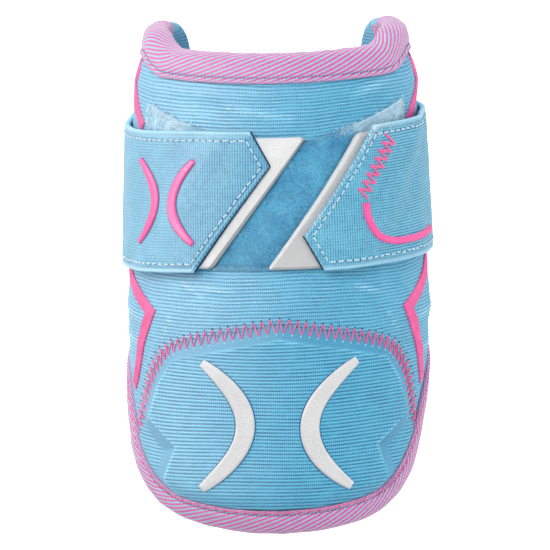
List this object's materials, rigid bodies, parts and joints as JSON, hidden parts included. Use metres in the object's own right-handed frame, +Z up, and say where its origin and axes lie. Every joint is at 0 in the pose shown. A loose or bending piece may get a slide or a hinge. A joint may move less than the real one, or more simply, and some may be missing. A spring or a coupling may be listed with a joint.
{
  "type": "elbow guard",
  "caption": "Padded C-shaped batter's elbow guard with taped edges, a raised elbow cap and a wide elastic strap whose slanted ends close over a loop patch at the front.",
  "frame": {"origin": "middle of the guard's outline on the ground, under it as it lies on its back", "axes": "+X to the guard's right as seen from the front, +Y along the arm to the guard's upper end, +Z up, which is the guard's front"},
  "size_m": [0.1127, 0.1788, 0.0997],
  "materials": {
    "knit": "sky-blue ribbed knit over foam",
    "lining": "blue mesh fabric",
    "tape": "twill tape with slanting pink and pale blue lines",
    "loop": "fuzzy blue loop pile",
    "elastic": "sky-blue woven elastic",
    "tab_white": "white fine-grained moulded rubber",
    "film": "thin pink printed film",
    "raised_white": "white raised rubber",
    "raised_pink": "pink raised rubber"
  },
  "bodies": {
    "root": {"shell": "knit", "lining": "lining", "binding_top": "tape", "binding_bottom": "tape", "elbow_cap": "knit", "loop_patch": "loop", "strap": "elastic", "tab_left": "tab_white", "tab_right": "tab_white", "stripe_upper_left": "film", "stripe_upper_right": "film", "stripe_lower_left": "film", "stripe_lower_right": "film", "cap_mark_left": "raised_white", "cap_mark_right": "raised_white", "strap_mark_left": "raised_pink", "strap_mark_right": "raised_pink", "strap_line": "raised_pink"}
  },
  "joints": []
}
